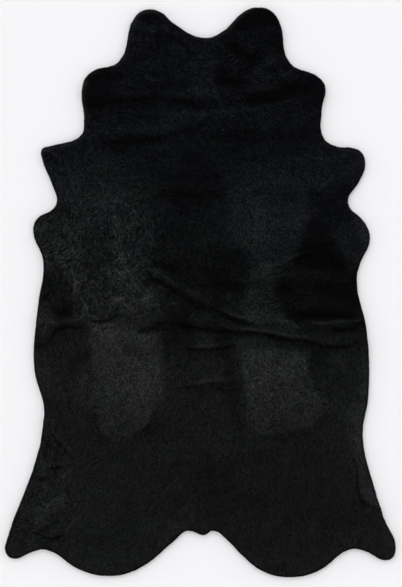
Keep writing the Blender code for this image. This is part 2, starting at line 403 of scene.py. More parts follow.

# Painted sheen and shade: patches where the pile was brushed up or lies away, painted lighter or
# darker into its colour. Each has how much lighter or darker it is than the rest, how softly it
# ends in millimetres, and the points round it as x and y.
SHEEN_AND_SHADE_PATCHES = dict(
    middle_strip=(-5, 25, (-140, 420), (20, 460), (100, 400), (80, 240), (110, 180), (160, 120), (150, 40),
        (100, -60), (-20, -160), (-130, -140), (-150, 0), (-170, 140), (-150, 280)),
    middle_over_the_pinch=(-4.5, 9, (5, 90), (50, 95), (95, 80), (90, 55), (40, 52), (10, 60)),
    middle_by_the_column=(-2.8, 18, (40, 150), (120, 155), (175, 130), (175, 80), (130, 70), (100, 100),
        (50, 110)),
    middle_pinch=(-5.5, 8, (45, 45), (100, 45), (160, 35), (160, 10), (110, 5), (60, 10)),
    middle_over_the_crest=(-3.5, 10, (-155, 110), (-100, 105), (-90, 70), (-150, 80)),
    middle_by_the_neck=(-2, 18, (-100, 370), (0, 380), (50, 330), (-20, 290), (-100, 310)),
    middle_lighter=(3, 15, (-30, 270), (60, 330), (70, 220), (0, 120), (-30, 170)),
    left_belly=(10, 8, (-385, -110), (-310, -104), (-240, -106), (-215, -138), (-135, -142), (-120, -250),
        (-120, -330), (-135, -380), (-165, -430), (-195, -480), (-260, -505), (-330, -500), (-360, -440),
        (-370, -360), (-360, -290), (-375, -220), (-400, -160)),
    left_belly_bright=(4, 12, (-370, -200), (-300, -220), (-170, -210), (-140, -250), (-150, -330),
        (-190, -370), (-250, -380), (-280, -340), (-350, -270)),
    left_belly_top=(8.7, 9, (-390, -110), (-235, -106), (-210, -138), (-155, -142), (-155, -190),
        (-200, -195), (-280, -190), (-350, -170)),
    left_belly_notch=(-5, 9, (-150, -150), (-120, -150), (-120, -230), (-145, -220)),
    left_of_the_left_belly=(3.5, 12, (-450, -120), (-400, -120), (-410, -170), (-460, -160)),
    left_belly_dent=(-8.5, 8, (-275, -160), (-225, -160), (-210, -205), (-260, -205)),
    left_belly_right_dent=(-4, 9, (-185, -375), (-140, -370), (-140, -405), (-175, -400)),
    left_belly_tail_end=(-2.8, 15, (-380, -420), (-140, -430), (-150, -510), (-360, -520)),
    left_belly_outer=(5.5, 12, (-370, -230), (-420, -270), (-435, -330), (-410, -385), (-375, -400),
        (-360, -320)),
    dark_by_the_left_belly=(-4.5, 10, (-405, -195), (-380, -210), (-385, -250), (-420, -260), (-430, -240)),
    left_back=(4, 30, (-440, 280), (-220, 300), (-200, 120), (-160, 30), (-150, -50), (-420, -90),
        (-460, 60)),
    left_back_first_light=(7, 12, (-300, 240), (-250, 250), (-240, 190), (-300, 170)),
    left_back_second_light=(5.5, 10, (-290, 140), (-250, 145), (-240, 100), (-280, 95)),
    left_back_third_light=(7, 12, (-335, 75), (-290, 90), (-240, 70), (-235, 20), (-290, 20)),
    left_back_fourth_light=(8, 7, (-205, 0), (-185, 5), (-160, -20), (-175, -35), (-205, -30)),
    left_back_fifth_light=(7, 7, (-300, -10), (-265, -15), (-260, -35), (-285, -48), (-305, -35)),
    left_back_by_the_strokes=(-5, 10, (-410, 110), (-360, 110), (-345, 80), (-390, 75)),
    left_back_sixth_light=(5, 12, (-400, 30), (-350, 40), (-320, 0), (-335, -35), (-390, -30)),
    left_back_outer_light=(6, 10, (-475, 95), (-450, 95), (-420, 50), (-410, 0), (-435, 0), (-450, 60)),
    left_back_dark=(-4.5, 15, (-410, 210), (-350, 240), (-330, 180), (-305, 120), (-320, 85), (-360, 90),
        (-390, 140)),
    left_foreleg=(5.5, 15, (-600, 270), (-540, 280), (-470, 260), (-430, 190), (-440, 130), (-500, 100),
        (-570, 100), (-600, 200)),
    left_flank_dark=(-4, 12, (-570, 65), (-490, 60), (-450, 30), (-440, -20), (-420, -70), (-460, -90),
        (-510, -80), (-520, -30), (-580, -40)),
    left_flank_deepest=(-4, 8, (-500, -50), (-460, -30), (-450, -75), (-485, -85)),
    left_flank_light=(4, 10, (-555, -45), (-530, -50), (-515, -100), (-530, -150), (-570, -140),
        (-600, -90)),
    over_the_cross_fold_left=(3.5, 12, (-280, -40), (-140, -45), (-120, -90), (-270, -95)),
    over_the_cross_fold_far_left=(4, 9, (-550, 140), (-500, 125), (-450, 120), (-450, 70), (-480, 60),
        (-490, 90), (-550, 100)),
    cross_fold_left=(-5, 10, (-510, -100), (-400, -100), (-390, -140), (-440, -145), (-510, -145)),
    left_edge_low=(4, 20, (-610, -215), (-540, -210), (-500, -280), (-510, -350), (-580, -370),
        (-610, -300)),
    left_shoulder=(4, 25, (-550, 480), (-420, 510), (-340, 500), (-280, 440), (-240, 380), (-240, 300),
        (-420, 290), (-500, 330)),
    left_shoulder_outer=(3, 12, (-500, 400), (-450, 440), (-420, 400), (-440, 350), (-500, 350)),
    left_shoulder_inner=(2.5, 12, (-350, 350), (-300, 345), (-270, 320), (-310, 300), (-360, 310)),
    right_shoulder=(4.2, 10, (100, 370), (240, 400), (360, 380), (395, 300), (385, 250), (350, 200),
        (300, 165), (240, 148), (190, 152), (140, 160), (105, 200), (100, 300)),
    right_shoulder_bright=(3, 12, (180, 340), (220, 330), (240, 200), (200, 165), (140, 170), (150, 220),
        (185, 260)),
    right_shoulder_upper_end=(-3.5, 14, (200, 370), (360, 380), (370, 320), (220, 320)),
    over_the_right_shoulder=(2, 20, (100, 440), (300, 460), (420, 520), (460, 450), (430, 390), (240, 380),
        (120, 370)),
    right_upper_foreleg=(3, 15, (470, 500), (560, 500), (600, 450), (560, 410), (500, 430)),
    under_the_right_foreleg=(-4.5, 12, (390, 355), (440, 360), (470, 390), (530, 390), (540, 300),
        (500, 250), (460, 220), (385, 240), (390, 300)),
    over_the_long_fold=(-4.5, 10, (30, -20), (90, -30), (135, -50), (150, -75), (100, -65), (50, -45)),
    right_column_upper=(3, 12, (175, 150), (240, 140), (250, 70), (230, 45), (190, 55), (175, 90)),
    right_column_bright=(3.5, 8, (190, 105), (235, 105), (240, 60), (195, 55)),
    long_fold_right_end=(5, 7, (190, -100), (240, -98), (300, -100), (335, -115), (330, -135), (260, -130),
        (200, -115)),
    right_column_lower=(3.2, 12, (155, 15), (180, 25), (240, 10), (270, -40), (290, -90), (220, -95),
        (170, -85), (145, -60), (145, -20)),
    right_flank_by_the_foreleg=(-3.5, 10, (335, 135), (360, 190), (420, 180), (470, 150), (510, 110),
        (500, 80), (400, 85), (330, 100)),
    right_flank_by_the_shelf=(-4, 6, (290, -65), (400, -60), (520, -65), (530, -95), (400, -100),
        (310, -100)),
    right_flank_inside=(-3, 10, (262, 35), (310, 40), (320, 0), (270, -10)),
    right_flank_outside=(-3, 12, (400, 35), (530, 45), (530, -20), (420, -10)),
    right_flank=(-8.2, 15, (375, 235), (345, 155), (325, 100), (290, 70), (262, 35), (265, -5), (285, -50),
        (295, -85), (330, -100), (430, -97), (530, -95), (550, -50), (560, 30), (560, 80), (500, 115),
        (475, 175), (445, 225), (410, 250)),
    right_flank_thin_light=(3.5, 10, (270, 55), (330, 75), (430, 68), (430, 50), (340, 50), (290, 45)),
    right_flank_lower_light=(3, 14, (310, -15), (400, -20), (410, -50), (330, -55)),
    right_foreleg_tip=(5, 12, (540, 260), (600, 240), (610, 170), (575, 160), (555, 200)),
    under_the_shelf=(-5.5, 10, (360, -118), (460, -122), (540, -118), (560, -130), (500, -148), (420, -145),
        (360, -135)),
    cross_fold_right=(-4.3, 15, (260, -160), (440, -170), (580, -160), (580, -190), (300, -195)),
    over_the_right_belly=(4.5, 10, (100, -165), (200, -160), (270, -180), (250, -200), (110, -190)),
    right_belly=(9, 7, (150, -203), (250, -198), (368, -194), (380, -260), (385, -310), (410, -340),
        (440, -370), (435, -420), (400, -460), (360, -475), (310, -485), (250, -490), (195, -480),
        (168, -445), (160, -400), (155, -330), (148, -270)),
    right_belly_bright=(4, 12, (155, -208), (250, -205), (360, -210), (370, -280), (320, -290), (270, -300),
        (210, -330), (170, -350), (155, -280)),
    right_belly_tail_end=(-4.5, 15, (210, -450), (280, -420), (360, -390), (440, -380), (420, -480),
        (250, -510)),
    dark_by_the_right_belly=(-4.5, 9, (375, -200), (430, -205), (440, -250), (410, -280), (385, -300)),
    right_flank_low=(-2.5, 15, (410, -300), (500, -290), (500, -340), (440, -360), (410, -340)),
    right_edge_low=(7, 12, (560, -200), (610, -200), (610, -400), (585, -520), (520, -510), (510, -440),
        (540, -360), (560, -280)),
    between_the_bellies=(-5, 12, (85, -220), (110, -220), (135, -300), (140, -420), (165, -480), (130, -470),
        (100, -380), (80, -350), (0, -360), (-40, -345), (60, -330), (90, -290)),
    over_the_bow=(-4.5, 12, (-120, -160), (-40, -160), (-30, -200), (-50, -215), (-120, -205)),
    between_the_folds=(6, 10, (-35, -55), (20, -70), (35, -100), (-20, -115), (-40, -90)),
    light_over_the_bow=(4.5, 10, (-30, -145), (40, -155), (40, -185), (-10, -185)),
    by_the_bow=(-6, 12, (50, -120), (110, -130), (110, -215), (50, -215)),
    by_the_short_crease=(-3, 10, (-140, -90), (-50, -60), (-50, -120), (-140, -130)),
    spine_of_the_neck=(3.6, 16, (0, 870), (40, 850), (55, 790), (45, 730), (50, 695), (0, 685), (-50, 690),
        (-50, 770), (-20, 810)),
    by_the_neck_dip=(3.5, 10, (-120, 920), (-60, 905), (-20, 890), (-30, 860), (-90, 880)),
    left_neck_lobe=(-5, 12, (-420, 780), (-340, 790), (-300, 765), (-325, 720), (-330, 660), (-420, 640)),
    left_neck_flap_tip=(-4.5, 8, (-230, 1000), (-140, 1000), (-150, 965), (-220, 960)),
    left_neck_flap_light=(1.5, 12, (-235, 950), (-190, 955), (-150, 910), (-190, 870), (-240, 870)),
    upper_neck_band_left=(-2.5, 9, (-320, 690), (-260, 695), (-140, 700), (-150, 660), (-310, 655)),
    upper_neck_band_middle=(-2.5, 9, (-100, 672), (-10, 672), (-20, 648), (-90, 648)),
    upper_neck_band_right=(-6, 8, (170, 695), (240, 715), (300, 730), (340, 745), (340, 710), (300, 675),
        (180, 658)),
    right_neck_lobe=(-4, 12, (330, 780), (450, 760), (450, 660), (360, 650), (350, 720)),
    right_of_the_spine=(-5, 14, (60, 800), (100, 780), (140, 740), (140, 700), (90, 705), (65, 750)),
    right_neck_flap_tip=(-5.5, 10, (100, 940), (160, 1010), (280, 1010), (290, 930), (220, 940), (150, 925)),
    right_neck_flap_dark=(-4, 10, (210, 900), (300, 910), (300, 850), (250, 855), (200, 870)),
    right_neck_flap_slanting=(-4.5, 8, (90, 880), (130, 875), (200, 810), (180, 790), (120, 830)),
    right_neck_light=(2.5, 12, (210, 850), (280, 840), (330, 780), (300, 740), (220, 750), (200, 800)),
    neck_lower=(2, 12, (-390, 640), (-200, 645), (0, 640), (200, 650), (370, 670), (380, 600), (100, 600),
        (0, 600), (-100, 565), (-380, 570)),
    lower_neck_band=(-4, 7, (-320, 545), (-120, 560), (-40, 600), (0, 595), (-20, 558), (-100, 545),
        (-200, 518), (-320, 517)),
    neck_lowest_right=(-2, 15, (80, 570), (360, 570), (340, 480), (100, 460)),
    neck_blot=(-3.5, 10, (-60, 505), (-10, 495), (-20, 460), (-60, 470)),
    left_haunch_bright=(7.2, 12, (-560, -745), (-500, -715), (-460, -725), (-490, -765), (-550, -775)),
    left_haunch_second=(5, 12, (-610, -800), (-560, -775), (-530, -800), (-570, -830), (-610, -830)),
    left_haunch_lowest=(1, 30, (-450, -900), (-200, -880), (-200, -1020), (-450, -1000)),
    left_edge_over_the_haunch=(2.5, 15, (-580, -420), (-530, -440), (-550, -560), (-620, -580)),
    left_haunch=(1.2, 30, (-620, -620), (-500, -550), (-300, -580), (-260, -780), (-450, -860),
        (-700, -900)),
    right_haunch_lowest=(-1.5, 30, (200, -860), (500, -860), (450, -1020), (220, -1020)),
    right_haunch=(-2, 30, (-20, -600), (200, -520), (480, -550), (500, -750), (400, -860), (100, -820),
        (0, -750)),
    right_hind_leg=(5.5, 10, (535, -500), (580, -500), (610, -620), (650, -750), (600, -750), (560, -690),
        (530, -580)),
    right_hind_foot=(2.5, 15, (620, -770), (660, -780), (700, -900), (660, -910), (630, -840)),
)

# Lines of painted shade and painted highlight, most of them by a fold, where the pile parts or
# catches the light: dark at a fold's foot and light on its crest. Each has its width, then points
# as x, y and by how many hundredths the pile is lighter or, below 0, darker there. A last number
# that is left out is 0.
SHADE_AND_SHEEN_LINES = dict(
    foot_of_the_long_fold=(6, (-175, 50), (-150, 40, -30), (-129, 31, -55), (-99, 15, -70), (-70, -2, -75),
        (-47, -18, -75), (-23, -31, -75), (3, -44, -70), (32, -54, -70), (58, -64, -70), (85, -77, -65),
        (104, -88, -60), (130, -99, -45), (162, -110, -30), (194, -120)),
    long_fold_crest_left=(2.8, (-195, 89), (-175, 83, 30), (-150, 73, 45), (-115, 51, 45), (-89, 31, 19),
        (-66, 17, 11)),
    long_fold_crest_middle=(4.5, (-50, 10, 14), (-24, -2, 28), (4, -18, 21), (32, -34, 14), (65, -48, 7),
        (85, -64, 14), (98, -72, 35), (120, -80, 35), (145, -87, 39), (180, -97, 32), (215, -108, 21)),
    under_the_long_fold=(2, (-136, -46), (-110, -41, 50), (-80, -37, 70), (-50, -34)),
    over_the_long_fold=(2.8, (65, -10), (85, -18, 35), (117, -31, 25), (144, -55)),
    side_of_the_long_fold=(9, (110, -52), (152, -69, 12), (194, -87, 20), (250, -97, 17), (299, -97, 15),
        (334, -104)),
    end_of_the_long_fold=(3.5, (278, -97, 7), (303, -101, 33), (320, -104, 42), (338, -118, 39),
        (352, -136, 13)),
    over_the_cross_fold=(3, (124, -125, 10), (166, -128, 60), (198, -133, 60), (236, -138, 60),
        (275, -143, 60), (306, -150, 45), (334, -155, 30), (366, -156, 20), (391, -162)),
    cross_fold_foot_far_left=(6, (-599, -202, -7), (-578, -192, -32), (-543, -185, -28), (-515, -146, -28),
        (-487, -124, -42), (-462, -116, -35), (-438, -125, -28), (-416, -118)),
    cross_fold_foot_left=(4.5, (-402, -94), (-381, -101, -42), (-360, -104, -47), (-329, -101, -47),
        (-306, -92, -51), (-290, -83, -26), (-262, -83, -26), (-234, -97)),
    cross_fold_foot_middle=(6, (-220, -137), (-190, -135, -12), (-164, -122, -20), (-136, -108, -50),
        (-101, -108, -45), (-66, -116, -50), (-38, -120, -65), (-9, -125, -30), (19, -132, -40),
        (47, -136, -50), (75, -136, -55), (103, -138, -60), (131, -143, -45), (162, -141, -50),
        (194, -142, -45), (222, -145, -50), (257, -155, -45)),
    cross_fold_foot_right=(5, (236, -148, -20), (261, -158, -45), (296, -162, -40), (334, -167, -45),
        (369, -171, -40), (405, -180, -40), (436, -189, -50), (471, -193, -50), (517, -189, -45),
        (545, -180, -30), (580, -160)),
    short_crease=(3.5, (-31, -66), (-39, -78, -45), (-53, -90, -50), (-66, -108, -30)),
    bow=(4, (-59, -192), (-41, -198, -34), (-6, -201, -38), (33, -202, -34), (47, -197, -38),
        (82, -198, -38), (103, -190, -38), (120, -187, -26), (134, -181)),
    light_over_the_bow=(4, (-38, -178), (15, -187, 19), (54, -181, 19), (96, -171)),
    pinch=(5, (47, 24), (71, 30, -20), (103, 32, -30), (131, 28, -30), (152, 20, -20), (169, 12)),
    pinch_left_part=(4, (-9, 26), (8, 24, -30), (33, 22, -30), (54, 19)),
    shelf_dark=(10, (348, -76), (384, -81, -40), (426, -83, -45), (475, -83, -40), (524, -83, -35),
        (548, -83)),
    shelf_light=(4.5, (380, -104), (412, -106, 45), (436, -109, 70), (461, -104, 50), (489, -100, 50),
        (531, -99, 40), (559, -97)),
    under_the_shelf=(7, (447, -122), (471, -131, -45), (503, -134, -50), (524, -129, -50), (559, -113, -50),
        (587, -101, -20)),
    short_flank_line=(2.5, (489, -72), (503, -73, 40), (531, -76, 40), (545, -76)),
    flank_lines_upper=(2.5, (461, 84), (482, 83, -30), (510, 80, -30), (527, 78)),
    flank_lines_middle=(2.5, (464, 41), (482, 40, 50), (506, 40, 40), (524, 38)),
    flank_lines_lower=(2.5, (464, 31), (489, 29, -35), (517, 33, -35), (531, 33)),
    right_shoulder_arc=(2.5, (255, 96), (280, 101, 25), (299, 110, 40), (320, 124, 50), (338, 134, 50),
        (362, 140, 35), (391, 142, 10)),
    right_shoulder_line=(4, (190, 155), (195, 200, 15), (197, 260, 15), (198, 320)),
    shadow_under_the_arc=(5, (313, 106), (334, 115, -35), (359, 124, -40), (391, 127, -30), (419, 127)),
    second_arc=(2.5, (320, 106), (338, 111, 40), (362, 113, 30), (380, 113)),
    neck_ripple_upper_right=(9, (96, 671), (138, 676, -13), (194, 682, -30), (250, 690, -30),
        (306, 703, -21), (348, 717, -9), (369, 731)),
    neck_ripple_upper_left=(9, (-395, 668), (-353, 671, -5), (-290, 675, -15), (-240, 671, -10),
        (-190, 673, -25), (-150, 671, -15), (-110, 668, -5), (-70, 664, -20), (-31, 660, -20), (19, 668, -5),
        (54, 668)),
    neck_ripple_middle=(5.5, (-339, 524), (-308, 526, -20), (-269, 530, -30), (-227, 534, -20),
        (-185, 536, -30), (-143, 542, -25), (-101, 552, -15), (-59, 564, -35), (-27, 573, -40),
        (-2, 566, -10), (33, 548)),
    neck_ripple_middle_right=(5, (19, 534), (54, 543, -25), (110, 547, -30), (166, 538, -25), (215, 524)),
    neck_light_above=(9, (-367, 703), (-290, 706, 10), (-178, 703, 10), (-73, 706, 17), (19, 703, 15),
        (75, 699)),
    neck_light_below=(10, (-318, 633), (-213, 629, 6), (-73, 626, 8), (103, 633, 12), (236, 661, 16),
        (320, 675, 10), (355, 682)),
    neck_ripple_lower=(2.5, (-210, 354), (-170, 346, -15), (-130, 338, -25), (-60, 336, -25),
        (-15, 334, -45), (20, 333, -40), (50, 338, -10), (120, 348, -5), (180, 350, -20), (250, 346, -15),
        (313, 344, -20), (348, 345)),
    cut_mark=(3, (369, 347), (391, 345, -40), (412, 343, -60), (429, 345, -40), (443, 347)),
    neck_flap_left=(6, (-150, 931), (-125, 910, -30), (-87, 885, -35), (-52, 864, -40), (-24, 843, -20),
        (5, 829)),
    neck_flap_right=(7, (89, 868), (138, 843, -30), (180, 826, -45), (201, 850, -30), (215, 871)),
    neck_flap_right_low=(6, (40, 752), (75, 745, -40), (124, 741, -45), (166, 731, -35), (194, 717)),
    right_foreleg_light=(4.5, (412, 359), (429, 373, 40), (447, 387, 50), (464, 401, 30), (475, 412)),
    left_foreleg_dark=(4, (-522, 422), (-501, 419, -30), (-473, 415, -35), (-452, 408)),
    left_shoulder_mark=(3, (-381, 415), (-364, 398, 20), (-339, 376, 23), (-315, 359, 17), (-297, 345)),
    upper_whisker=(2.2, (-536, 134), (-508, 127, 48), (-480, 120, 56), (-452, 117, 29), (-438, 106)),
    whisker=(2.2, (-452, 85, 10), (-445, 61, 48), (-438, 40, 56), (-439, 19, 56), (-446, -6, 48),
        (-455, -24)),
    fork_of_the_whisker=(2.2, (-438, 19, 19), (-424, 33, 48), (-409, 50, 37), (-395, 64)),
    light_hook=(2.2, (-424, -13, 19), (-416, -25, 66), (-407, -38, 75), (-398, -53, 66), (-395, -66, 19)),
    light_ring=(2.2, (-416, -38, 10), (-409, -55, 42), (-410, -74, 48), (-421, -92, 48), (-438, -99, 29),
        (-455, -101)),
    light_hook_low=(2.2, (-409, -76, 29), (-395, -77, 56), (-381, -80, 56), (-366, -89, 37), (-353, -97)),
    dark_by_the_ring=(8, (-522, -48), (-506, -66, -50), (-487, -76, -50), (-473, -83, -30), (-459, -90)),
    stroke=(2.2, (-297, 106), (-280, 96, 22), (-262, 85, 34), (-248, 71, 40), (-234, 54, 29), (-227, 40)),
    left_stroke=(2.2, (-318, 92), (-301, 106, 48), (-283, 124, 48), (-273, 141)),
    light_clump_one=(7, (-308, -38, 18), (-294, -27, 46), (-280, -20, 41), (-262, -16, 10)),
    light_clump_two=(6, (-255, -16, 10), (-241, -20, 41), (-231, -27, 18)),
    light_clump_three=(6, (-216, -31, 18), (-202, -24, 46), (-188, -16, 46), (-171, -9, 10)),
    light_clump_four=(5, (-297, 64, 10), (-276, 68, 32), (-248, 71, 10)),
    light_clump_five=(5, (-311, 268, 10), (-294, 261, 32), (-280, 250, 10)),
    light_clump_six=(4, (-325, 327, 10), (-304, 324, 32), (-283, 320, 28), (-262, 313)),
    dark_pinch_by_the_fold=(7, (-206, 57), (-188, 61, -30), (-174, 50, -50), (-150, 40, -40), (-132, 33)),
    dark_over_the_fold=(8, (-195, 106), (-157, 99, -35), (-122, 92, -40), (-87, 85, -20), (-59, 85)),
    flank_crease=(2.8, (-529, -487), (-515, -508, -26), (-494, -532, -33), (-473, -553, -29),
        (-452, -578, -33), (-438, -592)),
    flank_blot=(4, (-536, -620), (-522, -618, -60), (-504, -616, -75), (-490, -613, -50), (-480, -616)),
    haunch_line_left=(3, (-599, -838), (-578, -845, -40), (-553, -855, -40), (-529, -864, -50),
        (-504, -862, -65), (-483, -855, -40), (-469, -852)),
    haunch_light_one=(6, (-578, -799, 4), (-550, -771, 10), (-522, -746, 12), (-494, -729, 12),
        (-473, -715, 4)),
    haunch_light_two=(3, (-592, -816, 5), (-571, -802, 22), (-550, -788, 22), (-532, -771, 9)),
    haunch_light_three=(3, (-494, -655), (-480, -645, 22), (-462, -631, 22), (-452, -624)),
    haunch_diagonal=(2.5, (-150, -722), (-129, -701, 14), (-108, -680, 17), (-80, -655, 17), (-52, -634)),
    lines_by_the_tail=(2.5, (-171, -799), (-129, -809, 20), (-94, -820, 23), (-52, -824, 20), (-16, -824)),
    hind_leg_crease=(4, (531, -560), (541, -595, -30), (550, -638, -34), (552, -676, -34), (557, -711, -38),
        (573, -736, -42), (601, -750, -34), (626, -764, -17)),
    hind_leg_light=(5, (548, -553), (562, -595, 9), (573, -638, 12), (580, -680, 14), (601, -711, 15),
        (629, -736, 10), (650, -771, 3)),
    belly_crease=(3, (-115, -341), (-97, -340, -20), (-59, -334, -26), (-6, -327, -33), (26, -322, -39),
        (54, -320, -39), (75, -320, -33), (86, -313)),
    belly_crease_second=(2.8, (40, -337), (62, -341, -24), (89, -343, -30), (110, -345, -24), (124, -343)),
    belly_crease_light=(3, (-40, -320), (-6, -315, 23), (30, -310, 29), (70, -306, 23), (92, -312, 26),
        (98, -322)),
    belly_mark=(2.5, (71, -288), (89, -284, -40), (106, -282, -40), (124, -278)),
    end_of_the_left_belly=(6, (-150, -385), (-160, -427, -15), (-178, -465, -25), (-213, -490, -25),
        (-255, -511)),
)

# Where the pile is more ruffled, or less, than the rest at its place along the rug: by how much,
# how softly that ends, and the points round it.
RUFFLED_PATCHES = dict(
    left_flank=(0.5, 50, (-560, 320), (-200, 320), (-140, 100), (-150, -50), (-420, -100), (-600, -80)),
    left_haunch=(0.5, 50, (-520, -480), (-460, -660), (-460, -840), (-680, -840), (-600, -520)),
    right_shoulder=(-0.4, 20, (110, 400), (360, 400), (370, 220), (280, 130), (110, 150)),
    left_shoulder=(-0.2, 40, (-520, 500), (-220, 500), (-200, 360), (-500, 360)),
)

# Where the pile is brushed to the side instead: by how many degrees, how softly that ends, and
# the points round it.
BRUSHED_ASIDE = dict(
    neck=(78, 40, (-450, 600), (-450, 800), (-250, 1020), (0, 920), (250, 1020), (470, 760), (450, 560),
        (0, 520)),
    shoulders=(52, 50, (-500, 500), (0, 500), (500, 500), (400, 380), (0, 340), (-400, 400)),
    right_flank=(80, 20, (400, 270), (260, 100), (240, -40), (340, -150), (600, -150), (560, 100)),
    middle=(38, 30, (-100, 120), (120, 120), (160, -20), (0, -200), (-140, -140)),
    right_belly=(42, 30, (130, -190), (380, -190), (440, -450), (200, -500)),
    left_belly=(-30, 30, (-400, -100), (-120, -140), (-140, -450), (-380, -480)),
    left_haunch=(-42, 60, (-660, -600), (-300, -550), (-240, -900), (-700, -920)),
    tail=(-30, 60, (-200, -600), (100, -600), (100, -860), (-200, -860)),
)

# The patches with a greenish cast, and how softly that ends.
BELLY_PATCHES = ["left_belly", "right_belly"]
BELLY_SOFTNESS = 30

# How uneven single locks are, and how ruffled the pile is, from the tail to the neck: place along
# the rug in metres, and share.
GRAIN_LENGTHWISE = [(-0.6, 0.28), (-0.45, 0.38), (-0.15, 0.4), (0.1, 0.6), (0.6, 0.54)]
RUFFLED_LENGTHWISE = [(-1.0, 0.2), (-0.12, 0.15), (-0.05, 0.4), (0.3, 0.4), (0.55, 0.6), (1.0, 0.8)]

# The six joined meshes that the pile is kept in, each from one place along the rug to the next.
PILE_ZONES = {
    "pile_haunches": (-1.10, -0.68),
    "pile_flanks": (-0.68, -0.39),
    "pile_belly": (-0.39, -0.10),
    "pile_back": (-0.10, 0.20),
    "pile_shoulders": (0.20, 0.50),
    "pile_neck": (0.50, 1.10),
}


def patch_share(softness, points):
    """Over the survey: 1 inside a listed patch and 0 outside, with a soft, ragged end."""
    soft = softness / MILLIMETRES
    ring = soft_line(points + points[:2], 4, (MILLIMETRES, MILLIMETRES))[4:]
    near = near_line(ragged_x, ragged_y, ring, 4 * soft)
    share = np.zeros(survey_x.shape)
    share[near] = 0.5 * (1 + np.tanh(depth_inside(ragged_x[near], ragged_y[near], ring) / soft))
    return share


def patch_sum(patches):
    """Over the survey: what all the patches of a table add up to."""
    return sum(change * patch_share(softness, points) for change, softness, *points in patches.values())


ragged_x = survey_x + 0.006 * soft_noise(survey_x, survey_y, 0.018, 0.022, 81)
ragged_x = ragged_x + 0.009 * soft_noise(survey_x, survey_y, 0.05, 0.06, 83)
ragged_y = survey_y + 0.006 * soft_noise(survey_x, survey_y, 0.02, 0.016, 82)
ragged_y = ragged_y + 0.007 * soft_noise(survey_x, survey_y, 0.06, 0.05, 84)
# The painted sheen and shade of the brushed patches, in lightness.
painted_sheen_and_shade = patch_sum(SHEEN_AND_SHADE_PATCHES)
brushed_turn = patch_sum(BRUSHED_ASIDE)
ruffled = patch_sum(RUFFLED_PATCHES)
bellies = sum(patch_share(BELLY_SOFTNESS, SHEEN_AND_SHADE_PATCHES[name][2:]) for name in BELLY_PATCHES)

chance = np.random.default_rng(7)
root_x, root_y = even_grid(LOCK_SPACING)
root_x = (root_x + chance.uniform(-0.5, 0.5, root_x.shape) * LOCK_SPACING).ravel()
root_y = (root_y + chance.uniform(-0.5, 0.5, root_y.shape) * LOCK_SPACING).ravel()
on_backing = survey_value(rim_distance, root_x, root_y) > BACKING_INSET
root_x = root_x[on_backing]
root_y = root_y[on_backing]
lock_count = len(root_x)
rim_depth = survey_value(rim_distance, root_x, root_y)


def at_roots(field):
    """Reads one survey field at the root of each lock."""
    return survey_value(field, root_x, root_y)


def noise_at_roots(width, length, seed, turn=0.0):
    """Smooth unevenness at the root of each lock."""
    return soft_noise(root_x, root_y, width, length, seed, turn)


def streaks_at_roots(width, length, seed):
    """Fine streaks from -1 to 1 that run along each lock's heading, which is in degrees."""
    total = np.zeros(lock_count)
    weight = np.zeros(lock_count)
    for step in range(STREAK_WAYS):
        way = 180 * step / STREAK_WAYS
        match = np.cos(np.radians(heading - way)) ** STREAK_MATCH
        total = total + match * noise_at_roots(width, length, seed + step, way - 90)
        weight = weight + match
    return total / weight


def uneven(amount):
    """Chance unevenness of that size, from lock to lock."""
    return amount * chance.normal(size=lock_count)


ruffle = np.interp(root_y, *np.array(RUFFLED_LENGTHWISE).T)
ruffle = np.clip(ruffle + at_roots(ruffled), 0, 1)
swirl = noise_at_roots(0.07, 0.085, 21, 25) + 0.6 * noise_at_roots(0.03, 0.035, 22, -20)
heading = BRUSHED_TOWARDS + at_roots(brushed_turn) + (LEAST_SWIRL + MOST_SWIRL * ruffle) * swirl
wisp = streaks_at_roots(0.0024, 0.008, 40)
strand = streaks_at_roots(0.006, 0.024, 60)
tuft = noise_at_roots(0.013, 0.016, 23, 35)
clump = noise_at_roots(0.021, 0.017, 33, 40)

# How much lighter or darker each lock is than its place: broad clouds, then clumps and tufts, then
# streaks that run with the pile, and last the locks themselves.
neck_share = np.clip((root_y - NECK_START) / NECK_BAND, 0, 1)
rounded = noise_at_roots(0.085, 0.07, 31, 15) + 0.9 * noise_at_roots(0.038, 0.03, 32, -25)
banded = noise_at_roots(0.11, 0.016, 34, 3) + 0.7 * noise_at_roots(0.04, 0.009, 35, -4)
broad = rounded * (1 - 0.6 * neck_share) + banded * (0.15 + 0.85 * neck_share)
mottle = (0.05 + 0.07 * ruffle + 0.10 * neck_share) * broad + ruffle * (0.23 * clump + 0.15 * tuft)
mottle = mottle + (1 - ruffle) * (0.09 * strand + 0.04 * clump)
mottle = mottle + (0.18 + 0.80 * ruffle) * ((0.26 + 0.34 * neck_share) * strand + 1.10 * wisp)
grain = np.interp(root_y, *np.array(GRAIN_LENGTHWISE).T)
mottle = mottle + uneven(grain + 0.12 * ruffle)

# Which way each lock leans: as it was brushed, and outwards at the rim.
heading = np.radians(heading + 14 * ruffle * tuft + uneven(13))
lean_x = np.cos(heading)
lean_y = np.sin(heading)
rim_slope_y, rim_slope_x = np.gradient(rim_distance, SURVEY_SPACING)
rim_share = np.clip(1 - rim_depth / RIM_BAND, 0, 1)
out_x = -at_roots(rim_slope_x)
out_y = -at_roots(rim_slope_y)
lean_x = lean_x * (1 - rim_share) + RIM_PULL * out_x * rim_share
lean_y = lean_y * (1 - rim_share) + RIM_PULL * out_y * rim_share
lean_size = np.hypot(lean_x, lean_y)
lean_x = lean_x / lean_size
lean_y = lean_y / lean_size

